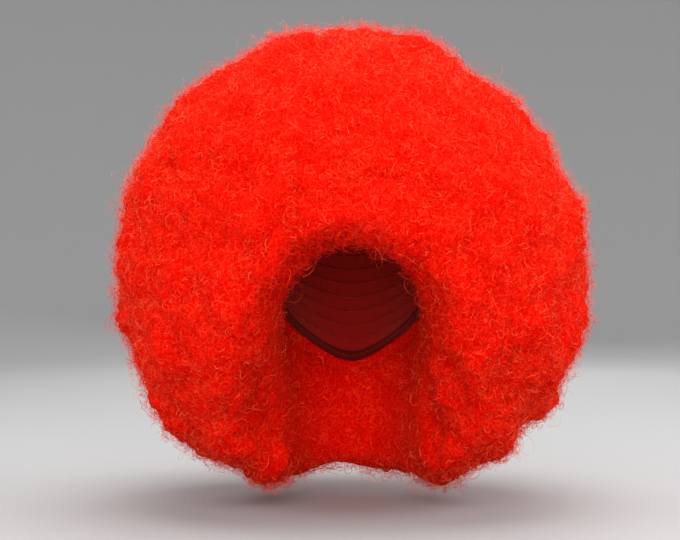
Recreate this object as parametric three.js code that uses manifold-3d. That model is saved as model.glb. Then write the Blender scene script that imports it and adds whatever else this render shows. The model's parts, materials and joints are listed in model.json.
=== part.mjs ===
// Afro wig: a hollow net cap with an elastic edge band, and a ball of frizzed hair sewn round it.
//
// Millimetres, +Z up. The face opening looks along -Y and +X is at the right of someone facing it.
// The origin is the middle of the head, at the level of the brow, where the cap grips the head.

import * as THREE from "three";
import { mergeVertices } from "three/addons/utils/BufferGeometryUtils.js";
import Module from "manifold-3d";

const wasm = await Module();
wasm.setup();

// Head that the cap fits, at brow level and up to the crown
const HEAD_HALF_WIDTH = 76;
const HEAD_HALF_LENGTH = 96;
const CROWN_HEIGHT = 95;
const CROWN_ROUNDNESS = 2.2;

// Head and neck under the brow, which the hollow of the hair follows down to its flared open end
const BELOW_BROW = [
  { z: -230, halfWidth: 98, front: 100, back: 130 },
  { z: -165, halfWidth: 58, front: 58, back: 78 },
  { z: -130, halfWidth: 56, front: 58, back: 76 },
  { z: -85, halfWidth: 61, front: 82, back: 82 },
  { z: -40, halfWidth: 72, front: 94, back: 93 },
  { z: 0, halfWidth: HEAD_HALF_WIDTH, front: HEAD_HALF_LENGTH, back: HEAD_HALF_LENGTH },
];

// Net cap. Its rim runs high over the forehead, above the ears and low on the nape.
const CAP_WALL = 1.6;
const CAP_SIDES = 36;
const CAP_RINGS = 8;
const RIM = [
  { azimuth: 0, z: 52 },
  { azimuth: 55, z: 30 },
  { azimuth: 95, z: 4 },
  { azimuth: 135, z: -38 },
  { azimuth: 180, z: -66 },
];

// Elastic band inside the rim
const BAND_HEIGHT = 10;
const BAND_THICKNESS = 1.4;

const GAP = 0.4;

// Hollow for the neck, which runs out of the bottom of the hair
const HOLLOW_END_Z = -230;
const NECK_RINGS = 5;

// Ball of hair, measured from its middle to the tips of its tufts
const HAIR_MIDDLE = new THREE.Vector3(0, 30, 41);
const HAIR_FRONT_DEPTH = 213;
const HAIR_BACK_DEPTH = 221;
const BALL_SIDES = 28;
const BALL_RINGS = 14;

// Outline of the ball from the front, by the angle from +X towards +Z
const OUTLINE = [
  { angle: 0, reach: 239 },
  { angle: 25, reach: 231 },
  { angle: 50, reach: 226 },
  { angle: 75, reach: 231 },
  { angle: 100, reach: 234 },
  { angle: 130, reach: 237 },
  { angle: 160, reach: 240 },
  { angle: 185, reach: 240 },
  { angle: 220, reach: 254 },
  { angle: 250, reach: 247 },
  { angle: 275, reach: 235 },
  { angle: 300, reach: 250 },
  { angle: 312, reach: 246 },
  { angle: 325, reach: 253 },
  { angle: 345, reach: 244 },
  { angle: 360, reach: 239 },
];

// Face opening, a slot from the hairline down to the neck that rolls outwards to the front of the hair
const SPRING_Z = -20;
const JAW_Z = -70;
const NECK_Z = -130;
const SLOT_END_Z = -240;
const ARCH_STEPS = 10;
const FACE_SECTIONS = [
  { y: -230, top: 84, spring: 186, jaw: 240, neck: 300 },
  { y: -185, top: 66, spring: 114, jaw: 158, neck: 220 },
  { y: -160, top: 59, spring: 92, jaw: 128, neck: 180 },
  { y: -130, top: 56, spring: 80, jaw: 106, neck: 146 },
  { y: -95, top: 53, spring: 73, jaw: 90, neck: 118 },
  { y: -45, top: 48, spring: 68, jaw: 75, neck: 86 },
  { y: 15, top: 30, spring: 53, jaw: 53, neck: 53 },
];

// Tufts of frizz, fused to a backing that lies under their tips
const TUFT_RISE = 16;
const TUFT_RADIUS = 54;
const TUFT_SINK = 5;
const TUFT_ROOT = 36;
const TUFT_SIDES = 7;
const TUFT_COUNT = 136;
const TUFT_SIZE_SPREAD = 0.2;
const TUFT_RISE_SPREAD = 5;
const TUFT_SAG = 0.12;
const GOLDEN_ANGLE = Math.PI * (3 - Math.sqrt(5));

// Smaller tufts that soften the edge of the face opening, from the hairline outwards
const EDGE_TUFT_SINK = 8;
const EDGE_TUFTS = [
  { y: -86, scale: 0.4, lean: 20 },
  { y: -118, scale: 0.5, lean: 45 },
  { y: -138, scale: 0.5, lean: 70 },
];

const HAIR_FINISH = { color: 0xe8260f, roughness: 0.9, metalness: 0 };
const CAP_FINISH = { color: 0x8e160d, roughness: 0.85, metalness: 0 };
const BAND_FINISH = { color: 0x5f100b, roughness: 0.75, metalness: 0 };

const MERGE_DISTANCE = 1e-3;

/** A closed surface through rings of equally many points, fanned shut at both ends or joined in a loop. */
function loft(rings, looped = false) {
  const sides = rings[0].length;
  const points = rings.flat();
  const triangles = [];
  const joints = looped ? rings.length : rings.length - 1;
  for (let i = 0; i < joints; i++) {
    const low = i * sides;
    const high = ((i + 1) % rings.length) * sides;
    for (let j = 0; j < sides; j++) {
      const next = (j + 1) % sides;
      triangles.push(low + j, low + next, high + next, low + j, high + next, high + j);
    }
  }
  if (!looped) {
    for (const [ring, first, turn] of [[rings[0], 0, -1], [rings.at(-1), points.length - sides, 1]]) {
      const middle = ring.reduce((sum, p) => sum.add(p), new THREE.Vector3()).divideScalar(sides);
      const centre = points.push(middle) - 1;
      for (let j = 0; j < sides; j++) {
        const edge = [first + j, first + ((j + 1) % sides)];
        triangles.push(centre, ...(turn > 0 ? edge : edge.reverse()));
      }
    }
  }
  return new THREE.BufferGeometry().setFromPoints(points).setIndex(triangles);
}

function solidOf(geometry) {
  const bare = geometry.clone();
  bare.deleteAttribute("normal");
  bare.deleteAttribute("uv");
  const merged = mergeVertices(bare, MERGE_DISTANCE);
  return new wasm.Manifold(
    new wasm.Mesh({
      numProp: 3,
      vertProperties: merged.attributes.position.array,
      triVerts: new Uint32Array(merged.index.array),
    }),
  );
}

function geometryOf(solid) {
  const mesh = solid.getMesh();
  return new THREE.BufferGeometry()
    .setAttribute("position", new THREE.BufferAttribute(mesh.vertProperties, 3))
    .setIndex(new THREE.BufferAttribute(mesh.triVerts, 1));
}

/** A function that reads a table's columns at any place along its rising key column. */
function tableReader(table, key) {
  const columns = Object.keys(table[0]);
  const curve = new THREE.CubicInterpolant(
    table.map((row) => row[key]),
    table.flatMap((row) => columns.map((column) => row[column])),
    columns.length,
  );
  curve.settings = { endingStart: THREE.ZeroSlopeEnding, endingEnd: THREE.ZeroSlopeEnding };
  return (at) => {
    const values = [...curve.evaluate(at)];
    return Object.fromEntries(columns.map((column, i) => [column, values[i]]));
  };
}

const headBelow = tableReader(BELOW_BROW, "z");
const rimAt = tableReader(RIM, "azimuth");
const faceAt = tableReader(FACE_SECTIONS, "y");
const outlineAt = tableReader(OUTLINE, "angle");

/** A repeatable number from 0 to 1 for the nth of a row of tufts. */
function shuffled(n, salt) {
  const wave = Math.sin(n * 12.9898 + salt * 78.233) * 43758.5453;
  return wave - Math.floor(wave);
}

/** The head's outline at a height, moved outwards by an offset. Azimuth 0 is the face, in radians. */
function headPoint(azimuth, z, offset) {
  const row = headBelow(Math.min(z, 0));
  const crown = CROWN_HEIGHT + offset;
  const climb = THREE.MathUtils.clamp(z / crown, 0, 1);
  const shrink = (1 - climb ** CROWN_ROUNDNESS) ** (1 / CROWN_ROUNDNESS);
  const length = Math.cos(azimuth) > 0 ? row.front : row.back;
  return new THREE.Vector3(
    (row.halfWidth + offset) * shrink * Math.sin(azimuth),
    -(length + offset) * shrink * Math.cos(azimuth),
    z,
  );
}

function rimHeight(azimuth) {
  const turned = Math.abs(THREE.MathUtils.radToDeg(Math.atan2(Math.sin(azimuth), Math.cos(azimuth))));
  return rimAt(turned).z;
}

function azimuths(sides) {
  return Array.from({ length: sides }, (_, i) => (2 * Math.PI * i) / sides);
}

/** A ring on the head at a given rise above the cap's rim. */
function rimRing(rise, offset) {
  return azimuths(CAP_SIDES).map((azimuth) => headPoint(azimuth, rimHeight(azimuth) + rise, offset));
}

/** Rings of a head-shaped wall from the rim, over the band, up to near the crown. */
function domeRings(offset) {
  const upper = Array.from({ length: CAP_RINGS }, (_, i) => {
    const climb = Math.sin((Math.PI / 2) * (i / CAP_RINGS));
    return azimuths(CAP_SIDES).map((azimuth) => {
      const base = rimHeight(azimuth) + BAND_HEIGHT;
      return headPoint(azimuth, base + (CROWN_HEIGHT + offset - base) * climb, offset);
    });
  });
  return [rimRing(0, offset), ...upper];
}

/** Rings of the head and neck from the open end up to just under the rim. */
function neckRings(offset) {
  return Array.from({ length: NECK_RINGS }, (_, i) => {
    const climb = i / NECK_RINGS;
    return azimuths(CAP_SIDES).map((azimuth) => {
      return headPoint(azimuth, THREE.MathUtils.lerp(HOLLOW_END_Z, rimHeight(azimuth), climb), offset);
    });
  });
}

function capGeometry() {
  return loft([...domeRings(0).reverse(), ...domeRings(CAP_WALL)]);
}

function bandGeometry() {
  const corners = [
    { rise: 0, inset: GAP },
    { rise: BAND_HEIGHT, inset: GAP },
    { rise: BAND_HEIGHT, inset: GAP + BAND_THICKNESS },
    { rise: 0, inset: GAP + BAND_THICKNESS },
  ];
  return loft(
    corners.map(({ rise, inset }) => rimRing(rise, -inset)),
    true,
  );
}

/** A unit vector at an azimuth from the face and at an angle above the level, both in radians. */
function direction(azimuth, swing) {
  const level = Math.cos(swing);
  return new THREE.Vector3(level * Math.sin(azimuth), -level * Math.cos(azimuth), Math.sin(swing));
}

/** The ball's surface along a direction from its middle, shrunk by an inset. */
function ballPoint(outward, inset) {
  const { x, y, z } = outward;
  const angle = THREE.MathUtils.euclideanModulo(THREE.MathUtils.radToDeg(Math.atan2(z, x)), 360);
  const reach = outlineAt(angle).reach - inset;
  const depth = (y < 0 ? HAIR_FRONT_DEPTH : HAIR_BACK_DEPTH) - inset;
  const length = 1 / Math.hypot(x / reach, y / depth, z / reach);
  return outward.clone().multiplyScalar(length).add(HAIR_MIDDLE);
}

function backingSolid() {
  const rings = Array.from({ length: BALL_RINGS - 1 }, (_, i) => {
    const swing = Math.PI * ((i + 1) / BALL_RINGS - 0.5);
    return azimuths(BALL_SIDES).map((azimuth) => ballPoint(direction(azimuth, swing), TUFT_RISE));
  });
  return solidOf(loft(rings));
}

/** One tuft: a domed lock on the Y axis, its root buried and its tip at the given rise. */
function tuftGeometry(radius, rise) {
  const fall = rise + TUFT_SINK;
  const profile = [
    { r: 0, y: -TUFT_ROOT },
    { r: 1, y: rise - fall },
    { r: 0.5, y: rise - 0.25 * fall },
    { r: 0, y: rise },
  ];
  return new THREE.LatheGeometry(
    profile.map(({ r, y }) => new THREE.Vector2(r * radius, y)),
    TUFT_SIDES,
  );
}

function placedTuft(root, outward, radius, rise, spin) {
  const turn = new THREE.Quaternion()
    .setFromUnitVectors(new THREE.Vector3(0, 1, 0), outward)
    .multiply(new THREE.Quaternion().setFromAxisAngle(new THREE.Vector3(0, 1, 0), spin));
  const geometry = tuftGeometry(radius, rise).applyQuaternion(turn);
  return solidOf(geometry.translate(root.x, root.y, root.z));
}

/** Tufts spread evenly over the ball by the golden angle, each of its own size. */
function ballTufts() {
  return Array.from({ length: TUFT_COUNT }, (_, n) => {
    const outward = direction(n * GOLDEN_ANGLE, Math.asin(1 - (2 * (n + 0.5)) / TUFT_COUNT));
    const root = ballPoint(outward, TUFT_RISE);
    outward.z -= TUFT_SAG * (1 - Math.abs(outward.z));
    const size = 1 + TUFT_SIZE_SPREAD * (shuffled(n, 1) - 0.5);
    const rise = TUFT_RISE - TUFT_RISE_SPREAD * shuffled(n, 2);
    return placedTuft(root, outward.normalize(), TUFT_RADIUS * size, rise, shuffled(n, 3));
  });
}

/** The face opening's outline in one upright plane: an arch over two straight legs. */
function faceOutline({ y, top, spring, jaw, neck }) {
  const arch = Array.from({ length: ARCH_STEPS + 1 }, (_, i) => {
    const swing = (Math.PI * i) / ARCH_STEPS;
    return [spring * Math.cos(swing), SPRING_Z + (top - SPRING_Z) * Math.sin(swing)];
  });
  const legs = [[jaw, JAW_Z], [neck, NECK_Z], [neck, SLOT_END_Z]];
  const left = legs.map(([x, z]) => [-x, z]);
  const outline = [...legs.toReversed(), ...arch, ...left];
  return outline.map(([x, z]) => new THREE.Vector3(x, y, z));
}

function faceSolid() {
  return solidOf(loft(FACE_SECTIONS.toReversed().map(faceOutline)));
}

/** Small tufts along the arch of the face opening, from one side over the top to the other. */
function edgeTufts() {
  return EDGE_TUFTS.flatMap(({ y, scale, lean }, row) => {
    const arch = faceOutline(faceAt(y)).filter(({ z }) => z > JAW_Z);
    return arch.map((point, n) => {
      const inward = new THREE.Vector3(-point.x, -lean, SPRING_Z - point.z).normalize();
      const root = point.clone().addScaledVector(inward, -EDGE_TUFT_SINK);
      const size = scale * (1 + TUFT_SIZE_SPREAD * (shuffled(n, 4 + row) - 0.5));
      return placedTuft(root, inward, TUFT_RADIUS * size, TUFT_RISE * size, shuffled(n, 8 + row));
    });
  });
}

/** The head, cap and neck, which the hair leaves free. */
function hollowSolid() {
  const offset = CAP_WALL + GAP;
  return solidOf(loft([...neckRings(offset), ...domeRings(offset)]));
}

/** The largest body of a solid, which leaves out pockets shut in between tufts. */
function outerBody(solid) {
  const bodies = solid.decompose();
  return bodies.reduce((largest, body) => (body.volume() > largest.volume() ? body : largest));
}

function hairGeometry() {
  const ball = outerBody(wasm.Manifold.union([backingSolid(), ...ballTufts()]));
  const open = ball.subtract(faceSolid());
  const edged = wasm.Manifold.union([open, ...edgeTufts()]);
  return geometryOf(outerBody(edged.subtract(hollowSolid())));
}

function piece(name, geometry, finish) {
  const mesh = new THREE.Mesh(geometry, new THREE.MeshStandardMaterial(finish));
  mesh.name = name;
  return mesh;
}

const wig = new THREE.Group();
wig.add(
  piece("cap", capGeometry(), CAP_FINISH),
  piece("edge_band", bandGeometry(), BAND_FINISH),
  piece("hair", hairGeometry(), HAIR_FINISH),
);

export default wig;
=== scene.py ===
"""Dresses the afro wig: a ball of frizzed hair made of a soft mass under thousands of curled strands,
a net cap with rows of sewn hair, and an elastic edge band, with a plain floor, soft light and a camera.

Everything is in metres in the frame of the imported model: +Z up, the front opening towards -Y.
"""

import json
import logging
import math
from dataclasses import dataclass
from enum import Enum

import bmesh
import bpy
import numpy as np
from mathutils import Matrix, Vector, noise

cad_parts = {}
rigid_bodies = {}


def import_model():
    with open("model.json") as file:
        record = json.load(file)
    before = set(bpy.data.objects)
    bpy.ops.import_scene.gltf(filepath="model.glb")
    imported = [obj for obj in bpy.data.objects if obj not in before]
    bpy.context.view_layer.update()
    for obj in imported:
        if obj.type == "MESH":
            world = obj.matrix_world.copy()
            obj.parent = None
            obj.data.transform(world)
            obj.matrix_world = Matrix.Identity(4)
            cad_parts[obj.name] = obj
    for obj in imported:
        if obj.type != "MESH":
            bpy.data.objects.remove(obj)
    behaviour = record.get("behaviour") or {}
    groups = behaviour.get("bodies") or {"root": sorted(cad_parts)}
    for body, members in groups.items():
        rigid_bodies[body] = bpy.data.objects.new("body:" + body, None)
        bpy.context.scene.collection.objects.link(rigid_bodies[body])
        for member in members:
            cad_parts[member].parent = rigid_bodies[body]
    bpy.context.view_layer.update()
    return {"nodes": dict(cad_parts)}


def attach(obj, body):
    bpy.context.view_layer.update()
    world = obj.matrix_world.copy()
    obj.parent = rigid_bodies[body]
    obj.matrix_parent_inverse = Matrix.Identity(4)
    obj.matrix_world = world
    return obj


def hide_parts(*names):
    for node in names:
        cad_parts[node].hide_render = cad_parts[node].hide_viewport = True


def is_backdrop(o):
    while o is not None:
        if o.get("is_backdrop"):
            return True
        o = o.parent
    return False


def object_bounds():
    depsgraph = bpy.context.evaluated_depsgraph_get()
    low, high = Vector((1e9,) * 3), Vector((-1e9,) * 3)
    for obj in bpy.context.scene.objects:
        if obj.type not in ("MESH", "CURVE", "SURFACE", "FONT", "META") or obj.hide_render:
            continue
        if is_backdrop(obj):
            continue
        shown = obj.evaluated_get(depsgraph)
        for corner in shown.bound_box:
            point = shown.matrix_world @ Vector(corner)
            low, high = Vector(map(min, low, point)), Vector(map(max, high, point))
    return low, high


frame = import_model()

LOG = logging.getLogger("afro_wig")
ROOT = "root"
STRAND_UV = "OFBake"
WEAVE_UV = "weave"
ROOT_SHADE = "Root shade"
THREAD_GRAIN = "Thread grain"


class HairRegion(Enum):
    """The parts of the ball that carry a piece of curls each."""

    CROWN = 0
    FRONT = 1
    RIGHT = 2
    BACK = 3
    LEFT = 4


class CurlKind(Enum):
    """How a lock of strands curls over the hair's surface."""

    RING = "ring"
    COIL = "coil"
    WISP = "wisp"


# Small tools for meshes and node trees


def new_object(name: str, mesh: bpy.types.Mesh) -> bpy.types.Object:
    """Links a mesh to the scene as an object at the origin.

    Args:
        name: The object's name.
        mesh: The mesh that it shows.

    Returns:
        The new object.
    """
    made = bpy.data.objects.new(name, mesh)
    bpy.context.scene.collection.objects.link(made)
    return made


def mesh_from_arrays(name: str, points: np.ndarray, faces: np.ndarray) -> bpy.types.Mesh:
    """Makes a mesh from points and from faces of equally many corners.

    Args:
        name: The mesh's name.
        points: Points, one row each.
        faces: Point indices, one row for each face.

    Returns:
        The mesh, shaded smooth.
    """
    mesh = bpy.data.meshes.new(name)
    mesh.from_pydata(points.tolist(), [], faces.tolist())
    mesh.shade_smooth()
    return mesh


def plain_mesh(source: bpy.types.Object, name: str) -> bpy.types.Mesh:
    """Turns an object with modifiers into a mesh of its own.

    Args:
        source: The object to evaluate.
        name: The new mesh's name.

    Returns:
        The evaluated mesh.
    """
    depsgraph = bpy.context.evaluated_depsgraph_get()
    depsgraph.update()
    mesh = bpy.data.meshes.new_from_object(source.evaluated_get(depsgraph), depsgraph=depsgraph)
    mesh.name = name
    return mesh


def rows_of(items: bpy.types.bpy_prop_collection, name: str) -> np.ndarray:
    """Reads a vector that all items of a mesh hold.

    Args:
        items: The mesh's points, normals or faces.
        name: The vector's property name.

    Returns:
        The vectors, one row each.
    """
    flat = np.empty(len(items) * 3, np.float32)
    items.foreach_get(name, flat)
    return flat.reshape(-1, 3).astype(float)


def points_of(mesh: bpy.types.Mesh) -> np.ndarray:
    """Returns a mesh's points, one row each."""
    return rows_of(mesh.vertices, "co")


def normals_of(mesh: bpy.types.Mesh) -> np.ndarray:
    """Returns a mesh's point normals, one row each."""
    return rows_of(mesh.vertex_normals, "vector")


def move_points(mesh: bpy.types.Mesh, points: np.ndarray) -> None:
    """Moves a mesh's points to new places, one row each."""
    mesh.vertices.foreach_set("co", points.astype(np.float32).ravel())
    mesh.update()


def unit(rows: np.ndarray) -> np.ndarray:
    """Returns rows scaled to a length of 1."""
    return rows / np.linalg.norm(rows, axis=1)[:, None]


def full_turn(count: int) -> np.ndarray:
    """Returns angles spread evenly over a full turn, in radians."""
    return np.linspace(0.0, 2.0 * math.pi, count, endpoint=False)


def store_attribute(mesh: bpy.types.Mesh, name: str, kind: str, domain: str, values: np.ndarray) -> None:
    """Writes one value for each point or face into a named attribute.

    Args:
        mesh: The mesh that takes it.
        name: The attribute's name.
        kind: Its data type, FLOAT or INT.
        domain: POINT or FACE.
        values: The values in order.
    """
    attribute = mesh.attributes.new(name, kind, domain)
    attribute.data.foreach_set("value", values.astype(np.float32 if kind == "FLOAT" else np.int32))


def store_map(mesh: bpy.types.Mesh, name: str, places: np.ndarray) -> None:
    """Writes a map that has one place for each point.

    Args:
        mesh: The mesh that takes it.
        name: The map's name.
        places: The points' places on the map, one row each.
    """
    corners = np.empty(len(mesh.loops), np.int32)
    mesh.loops.foreach_get("vertex_index", corners)
    layer = mesh.uv_layers.new(name=name)
    layer.data.foreach_set("uv", places[corners].astype(np.float32).ravel())


def smooth_step(values: np.ndarray, low: float, high: float) -> np.ndarray:
    """Returns 0 below low, 1 above high and an eased rise between them."""
    share = np.clip((values - low) / (high - low), 0.0, 1.0)
    return share * share * (3.0 - 2.0 * share)


def eased(wanted: np.ndarray, places: tuple[float, ...], values: tuple[float, ...]) -> np.ndarray:
    """Reads a short table as a smooth curve that is level at both ends.

    Args:
        wanted: Where to read it.
        places: The table's places, rising.
        values: The table's values.

    Returns:
        The curve's values.
    """
    table_x, table_y = np.array(places), np.array(values)
    slopes = np.zeros(len(places))
    slopes[1:-1] = (table_y[2:] - table_y[:-2]) / (table_x[2:] - table_x[:-2])
    inside = np.clip(wanted, table_x[0], table_x[-1])
    low = np.clip(np.searchsorted(table_x, inside, side="right") - 1, 0, len(places) - 2)
    step = table_x[low + 1] - table_x[low]
    share = (inside - table_x[low]) / step
    start, end = table_y[low], table_y[low + 1]
    bend = share * share * (3.0 - 2.0 * share)
    leave = share * (1.0 - share) ** 2 * step * slopes[low]
    arrive = share * share * (share - 1.0) * step * slopes[low + 1]
    return start + (end - start) * bend + leave + arrive


def ring_wall(rings: list[np.ndarray], looped: bool) -> tuple[np.ndarray, np.ndarray]:
    """Joins rings of equally many points into a wall of four-sided faces.

    Args:
        rings: Rings in order, each a closed row of points.
        looped: True where the last ring joins the first.

    Returns:
        The points and the faces.
    """
    sides = len(rings[0])
    column = np.arange(sides)
    following = (column + 1) % sides
    rows = []
    for ring in range(len(rings) if looped else len(rings) - 1):
        low = ring * sides
        high = ((ring + 1) % len(rings)) * sides
        rows.append(np.stack([low + column, low + following, high + following, high + column], axis=1))
    return np.concatenate(rings), np.concatenate(rows)


def turn_outwards(mesh: bpy.types.Mesh, fill_holes: bool) -> None:
    """Turns all faces of a mesh outwards.

    Args:
        mesh: The mesh to change.
        fill_holes: True where its open ends are closed first.
    """
    work = bmesh.new()
    work.from_mesh(mesh)
    if fill_holes:
        bmesh.ops.holes_fill(work, edges=[edge for edge in work.edges if edge.is_boundary], sides=0)
    bmesh.ops.recalc_face_normals(work, faces=work.faces)
    work.to_mesh(mesh)
    work.free()


@dataclass
class TreeWriter:
    """Adds nodes to a tree and links them."""

    tree: bpy.types.NodeTree

    def node(self, kind: str, settings: dict | None = None, inputs: dict | None = None) -> bpy.types.Node:
        """Adds a node.

        Args:
            kind: The node's type name.
            settings: Properties to set on it.
            inputs: Values or output sockets for its inputs, by name or index.

        Returns:
            The new node.
        """
        made = self.tree.nodes.new(kind)
        for key, value in (settings or {}).items():
            setattr(made, key, value)
        for key, value in (inputs or {}).items():
            self.feed(made, key, value)
        return made

    def feed(self, node: bpy.types.Node, key: str | int, value: object) -> None:
        """Sets an enabled input to a value, or links an output socket to it.

        Args:
            node: The node that takes it.
            key: The input's name or index.
            value: A plain value or an output socket.
        """
        if isinstance(key, int):
            socket = node.inputs[key]
        else:
            socket = next(s for s in node.inputs if s.name == key and s.enabled)
        if isinstance(value, bpy.types.NodeSocket):
            self.tree.links.new(value, socket)
        else:
            socket.default_value = value

    def out(self, node: bpy.types.Node, name: str) -> bpy.types.NodeSocket:
        """Returns a node's enabled output of that name."""
        return next(s for s in node.outputs if s.name == name and s.enabled)

    def work_out(self, operation: str, *values: object) -> bpy.types.NodeSocket:
        """Adds a math node.

        Args:
            operation: What the node works out.
            values: Its plain values or output sockets, in order.

        Returns:
            The result's socket.
        """
        return self.node("ShaderNodeMath", {"operation": operation}, dict(enumerate(values))).outputs[0]

    def finish(self, geometry: bpy.types.NodeSocket, material: bpy.types.NodeSocket) -> bpy.types.NodeTree:
        """Ends a geometry tree, which gives out what it made in its material.

        Args:
            geometry: What the tree made.
            material: The material that it gets.

        Returns:
            The tree.
        """
        dressed = self.node("GeometryNodeSetMaterial", inputs={"Geometry": geometry, "Material": material})
        self.node("NodeGroupOutput", inputs={"Geometry": dressed.outputs[0]})
        return self.tree


def new_tree(name: str, kind: str, given: dict[str, str], made: dict[str, str]) -> TreeWriter:
    """Starts a node tree with named inputs and outputs.

    Args:
        name: The tree's name.
        kind: The tree's type name.
        given: The inputs' names with the kinds of their sockets.
        made: The outputs' names with the kinds of their sockets.

    Returns:
        A writer for the tree.
    """
    tree = bpy.data.node_groups.new(name, kind)
    for side, sockets in (("INPUT", given), ("OUTPUT", made)):
        for label, socket in sockets.items():
            tree.interface.new_socket(label, in_out=side, socket_type="NodeSocket" + socket)
    return TreeWriter(tree)


def new_geometry_tree(name: str, sizes: dict[str, str]) -> TreeWriter:
    """Starts a geometry tree that takes a geometry, its own sizes and a material.

    Args:
        name: The tree's name.
        sizes: The sizes' names with the kinds of their sockets.

    Returns:
        A writer for the tree.
    """
    given = {"Geometry": "Geometry"} | sizes | {"Material": "Material"}
    return new_tree(name, "GeometryNodeTree", given, {"Geometry": "Geometry"})


def run_geometry_tree(
    source: bpy.types.Object, tree: bpy.types.NodeTree, values: dict, name: str
) -> bpy.types.Mesh:
    """Runs a geometry tree on an object and returns its result as a plain mesh.

    Args:
        source: The object that carries the tree while it runs.
        tree: The geometry tree.
        values: Input values by socket name.
        name: The new mesh's name.

    Returns:
        The realized mesh.
    """
    modifier = source.modifiers.new(tree.name, "NODES")
    modifier.node_group = tree
    for item in tree.interface.items_tree:
        if item.item_type == "SOCKET" and item.in_out == "INPUT" and item.name in values:
            modifier[item.identifier] = values[item.name]
    mesh = plain_mesh(source, name)
    source.modifiers.remove(modifier)
    return mesh


# Finishes

Colour = tuple[float, float, float]
Shades = tuple[tuple[float, Colour], ...]

FULL_RED: Colour = (0.58, 0.0009, 0.0004)
BRIGHT_RED: Colour = (0.75, 0.0022, 0.0008)
ORANGE_RED: Colour = (0.93, 0.016, 0.005)
# WARM_ORANGE and PALE_ORANGE are partly painted highlights: pale curl strands stand for glints on lit fibres,
# and the paler frizz for light through thin fibres at the edge; the rest is a random tone.
WARM_ORANGE: Colour = (1.0, 0.092, 0.026)
PALE_ORANGE: Colour = (1.0, 0.22, 0.085)
CURL_SHADES: Shades = ((0.0, FULL_RED), (0.35, BRIGHT_RED), (0.65, ORANGE_RED), (0.95, WARM_ORANGE))
FRIZZ_SHADES: Shades = ((0.0, ORANGE_RED), (0.45, WARM_ORANGE), (0.95, PALE_ORANGE))
MASS_SHADES: Shades = ((0.05, FULL_RED), (0.35, BRIGHT_RED), (0.75, ORANGE_RED), (1.0, WARM_ORANGE))


def colour_ramp(writer: TreeWriter, factor: bpy.types.NodeSocket, stops: Shades) -> bpy.types.NodeSocket:
    """Adds a colour ramp.

    Args:
        writer: The tree's writer.
        factor: What the ramp reads.
        stops: Places along the ramp with their colours.

    Returns:
        The ramp's colour output.
    """
    node = writer.node("ShaderNodeValToRGB", inputs={"Fac": factor})
    elements = node.color_ramp.elements
    while len(elements) < len(stops):
        elements.new(0.5)
    for element, (place, colour) in zip(elements, stops):
        element.position = place
        element.color = (*colour, 1.0)
    return writer.out(node, "Color")


@dataclass(frozen=True)
class Finish:
    """The plain values of a fibre finish."""

    name: str
    roughness: float
    specular: float
    sheen: float
    glow: tuple[float, float, float, float]

    def start(self) -> tuple[bpy.types.Material, TreeWriter, bpy.types.Node]:
        """Makes the material with its shader.

        Returns:
            The material, a writer for its nodes and the shader node.
        """
        material = bpy.data.materials.new(self.name)
        material.use_nodes = True
        writer = TreeWriter(material.node_tree)
        shader = material.node_tree.nodes["Principled BSDF"]
        writer.feed(shader, "Roughness", self.roughness)
        writer.feed(shader, "Specular IOR Level", self.specular)
        writer.feed(shader, "Sheen Weight", self.sheen)
        writer.feed(shader, "Sheen Tint", self.glow)
        writer.feed(shader, "Specular Tint", self.glow)
        return material, writer, shader


@dataclass(frozen=True)
class StrandFinish(Finish):
    """Shiny curled fibre: each strand has its own shade across the map, with painted light and painted
    highlights in it, and is deeper at its root.
    """

    shades: Shades
    root_depth: float = 0.85
    middle: float = 0.45
    middle_depth: float = 0.92
    root_share: float = 1.0

    def build(self) -> bpy.types.Material:
        """Makes the material, which reads the strands' own map.

        Returns:
            The material.
        """
        material, writer, shader = self.start()
        place = writer.node("ShaderNodeUVMap", {"uv_map": STRAND_UV})
        split = writer.node("ShaderNodeSeparateXYZ", inputs={"Vector": writer.out(place, "UV")})
        tinted = writer.node(
            "ShaderNodeGroup",
            {"node_tree": bpy.data.node_groups.get(ROOT_SHADE) or self.root_shade()},
            {
                "Colour": colour_ramp(writer, writer.out(split, "X"), self.shades),
                "Along": writer.out(split, "Y"),
                "Share": self.root_share,
            },
        )
        writer.feed(shader, "Base Color", writer.out(tinted, "Colour"))
        return material

    def root_shade(self) -> bpy.types.NodeTree:
        """Makes the group that deepens a colour towards a strand's root.

        Returns:
            The group, which both strand finishes use.
        """
        given = {"Colour": "Color", "Along": "Float", "Share": "Float"}
        writer = new_tree(ROOT_SHADE, "ShaderNodeTree", given, {"Colour": "Color"})
        sockets = writer.node("NodeGroupInput").outputs
        depths = ((0.0, self.root_depth), (self.middle, self.middle_depth), (1.0, 1.0))
        along = colour_ramp(writer, sockets["Along"], tuple((place, (depth,) * 3) for place, depth in depths))
        tinted = writer.node(
            "ShaderNodeMix",
            {"data_type": "RGBA", "blend_type": "MULTIPLY"},
            {"Factor": sockets["Share"], "A": sockets["Colour"], "B": along},
        )
        writer.node("NodeGroupOutput", inputs={"Colour": writer.out(tinted, "Result")})
        return writer.tree


@dataclass(frozen=True)
class ReliefFinish(Finish):
    """A fibre finish with a fine relief of a given strength and depth."""

    bump: float = 0.5
    depth: float = 0.0005

    def dress(
        self,
        writer: TreeWriter,
        shader: bpy.types.Node,
        colour: bpy.types.NodeSocket,
        height: bpy.types.NodeSocket,
    ) -> None:
        """Gives the shader its colour and its relief.

        Args:
            writer: The material's writer.
            shader: The shader node.
            colour: The colour over the surface.
            height: The relief's height over the surface.
        """
        relief = writer.node(
            "ShaderNodeBump", inputs={"Strength": self.bump, "Distance": self.depth, "Height": height}
        )
        writer.feed(shader, "Base Color", colour)
        writer.feed(shader, "Normal", writer.out(relief, "Normal"))


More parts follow.
